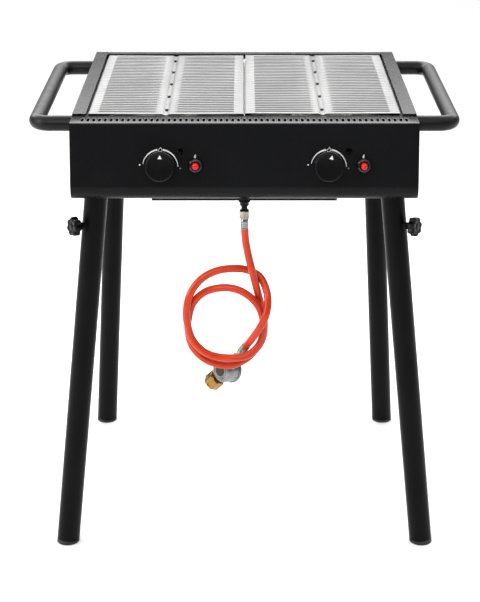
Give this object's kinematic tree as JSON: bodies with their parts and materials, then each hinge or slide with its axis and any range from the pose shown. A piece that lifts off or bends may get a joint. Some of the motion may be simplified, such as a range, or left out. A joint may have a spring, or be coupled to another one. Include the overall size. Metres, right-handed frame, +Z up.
{
  "type": "charbroiler grill",
  "caption": "Free-standing gas charbroiler grill with slotted steel cooking plates, a slide-out drip tray, side handles and splayed tube legs.",
  "frame": {"origin": "on the floor, in the middle of the grill's bounding box without its gas hose and regulator", "axes": "+Z up, +X to the right of somebody standing at the knobs, +Y from the knobs to the rear, where the drip tray pulls out"},
  "size_m": [0.774, 0.6234, 0.825],
  "materials": {
    "black_paint": "satin black powder coat with a fine texture",
    "inner_black": "matt black heat-proof paint",
    "stainless": "bright stainless sheet with a fine grain",
    "burner_steel": "dull stainless steel",
    "spindle_steel": "turned steel",
    "brass": "machined brass",
    "nut_brass": "machined brass with worn edges",
    "knob_black": "satin black heat-proof plastic with a white pointer",
    "igniter_black": "glossy black plastic",
    "button_red": "glossy red plastic",
    "ceramic": "off-white ceramic",
    "lead_black": "black silicone insulation",
    "cap_black": "satin black plastic",
    "hose_orange": "smooth orange gas hose",
    "nickel": "nickel-plated brass",
    "chrome": "bright zinc-plated steel",
    "regulator_grey": "grey die-cast alloy"
  },
  "bodies": {
    "frame": {"front_panel": "black_paint", "rear_panel": "black_paint", "side_panel_left": "black_paint", "side_panel_right": "black_paint", "control_box_floor": "black_paint", "handle_left": "black_paint", "handle_right": "black_paint", "leg_socket_front_left": "black_paint", "leg_socket_front_right": "black_paint", "leg_socket_rear_left": "black_paint", "leg_socket_rear_right": "black_paint", "bulkhead": "inner_black", "grate_centre_bar": "inner_black", "gas_manifold": "inner_black", "gas_inlet": "inner_black", "tray_runner_left": "inner_black", "tray_runner_right": "inner_black", "burner_left": "burner_steel", "burner_right": "burner_steel", "heat_deflector_left": "burner_steel", "heat_deflector_right": "burner_steel", "gas_valve_left": "brass", "gas_valve_right": "brass", "injector_left": "brass", "injector_right": "brass", "regulator_nut": "nut_brass", "igniter_body_left": "igniter_black", "igniter_body_right": "igniter_black", "ignition_electrode_left": "ceramic", "ignition_electrode_right": "ceramic", "ignition_lead_left": "lead_black", "ignition_lead_right": "lead_black", "gas_hose": "hose_orange", "hose_nut": "nickel", "hose_ferrule": "chrome", "hose_end_fitting": "chrome", "regulator_body": "regulator_grey"},
    "valve_plug_left": {"valve_plug_left": "brass"},
    "knob_left": {"control_knob_left": "knob_black", "valve_spindle_left": "spindle_steel"},
    "igniter_button_left": {"igniter_button_left": "button_red"},
    "grate_left": {"grate_left": "stainless"},
    "valve_plug_right": {"valve_plug_right": "brass"},
    "knob_right": {"control_knob_right": "knob_black", "valve_spindle_right": "spindle_steel"},
    "igniter_button_right": {"igniter_button_right": "button_red"},
    "grate_right": {"grate_right": "stainless"},
    "drip_tray": {"drip_tray": "stainless"},
    "leg_front_left": {"leg_front_left": "black_paint", "foot_cap_front_left": "cap_black"},
    "star_knob_front_left": {"star_knob_front_left": "cap_black"},
    "leg_front_right": {"leg_front_right": "black_paint", "foot_cap_front_right": "cap_black"},
    "star_knob_front_right": {"star_knob_front_right": "cap_black"},
    "leg_rear_left": {"leg_rear_left": "black_paint", "foot_cap_rear_left": "cap_black"},
    "star_knob_rear_left": {"star_knob_rear_left": "cap_black"},
    "leg_rear_right": {"leg_rear_right": "black_paint", "foot_cap_rear_right": "cap_black"},
    "star_knob_rear_right": {"star_knob_rear_right": "cap_black"}
  },
  "joints": [
    {"name": "tap_turn_left", "type": "hinge", "parent": "frame", "child": "valve_plug_left", "pos_m": [-0.147, -0.28006, 0.749], "axis": [0, -0.9877, 0.1564], "range_deg": [-90, 90]},
    {"name": "knob_push_left", "type": "slide", "parent": "valve_plug_left", "child": "knob_left", "axis": [0, 0.9877, -0.1564], "range_m": [0, 0.0035], "stiffness_N_per_m": 800},
    {"name": "igniter_push_left", "type": "slide", "parent": "frame", "child": "igniter_button_left", "axis": [0, 0.9877, -0.1564], "range_m": [0, 0.005], "stiffness_N_per_m": 600},
    {"name": "grate_lift_left", "type": "slide", "parent": "frame", "child": "grate_left", "axis": [0, 0, 1], "range_m": [0, 0.1]},
    {"name": "tap_turn_right", "type": "hinge", "parent": "frame", "child": "valve_plug_right", "pos_m": [0.147, -0.28006, 0.749], "axis": [0, -0.9877, 0.1564], "range_deg": [-90, 90]},
    {"name": "knob_push_right", "type": "slide", "parent": "valve_plug_right", "child": "knob_right", "axis": [0, 0.9877, -0.1564], "range_m": [0, 0.0035], "stiffness_N_per_m": 800},
    {"name": "igniter_push_right", "type": "slide", "parent": "frame", "child": "igniter_button_right", "axis": [0, 0.9877, -0.1564], "range_m": [0, 0.005], "stiffness_N_per_m": 600},
    {"name": "grate_lift_right", "type": "slide", "parent": "frame", "child": "grate_right", "axis": [0, 0, 1], "range_m": [0, 0.1]},
    {"name": "tray_slide", "type": "slide", "parent": "frame", "child": "drip_tray", "axis": [0, 1, 0], "range_m": [0, 0.35]},
    {"name": "leg_pull_front_left", "type": "slide", "parent": "frame", "child": "leg_front_left", "axis": [-0.1013, -0.0467, -0.9938], "range_m": [0, 0.1]},
    {"name": "star_turn_front_left", "type": "hinge", "parent": "leg_front_left", "child": "star_knob_front_left", "pos_m": [-0.27107, -0.22629, 0.622], "axis": [-0.8129, -0.5719, 0.1098], "range_deg": [0, 720]},
    {"name": "leg_pull_front_right", "type": "slide", "parent": "frame", "child": "leg_front_right", "axis": [0.1013, -0.0467, -0.9938], "range_m": [0, 0.1]},
    {"name": "star_turn_front_right", "type": "hinge", "parent": "leg_front_right", "child": "star_knob_front_right", "pos_m": [0.27107, -0.22629, 0.622], "axis": [0.8129, -0.5719, 0.1098], "range_deg": [0, 720]},
    {"name": "leg_pull_rear_left", "type": "slide", "parent": "frame", "child": "leg_rear_left", "axis": [-0.0563, 0.0468, -0.9973], "range_m": [0, 0.1]},
    {"name": "star_turn_rear_left", "type": "hinge", "parent": "leg_rear_left", "child": "star_knob_rear_left", "pos_m": [-0.26836, 0.24929, 0.622], "axis": [-0.8172, 0.5717, 0.073], "range_deg": [0, 720]},
    {"name": "leg_pull_rear_right", "type": "slide", "parent": "frame", "child": "leg_rear_right", "axis": [0.0563, 0.0468, -0.9973], "range_m": [0, 0.1]},
    {"name": "star_turn_rear_right", "type": "hinge", "parent": "leg_rear_right", "child": "star_knob_rear_right", "pos_m": [0.26836, 0.24929, 0.622], "axis": [0.8172, 0.5717, 0.073], "range_deg": [0, 720]}
  ]
}
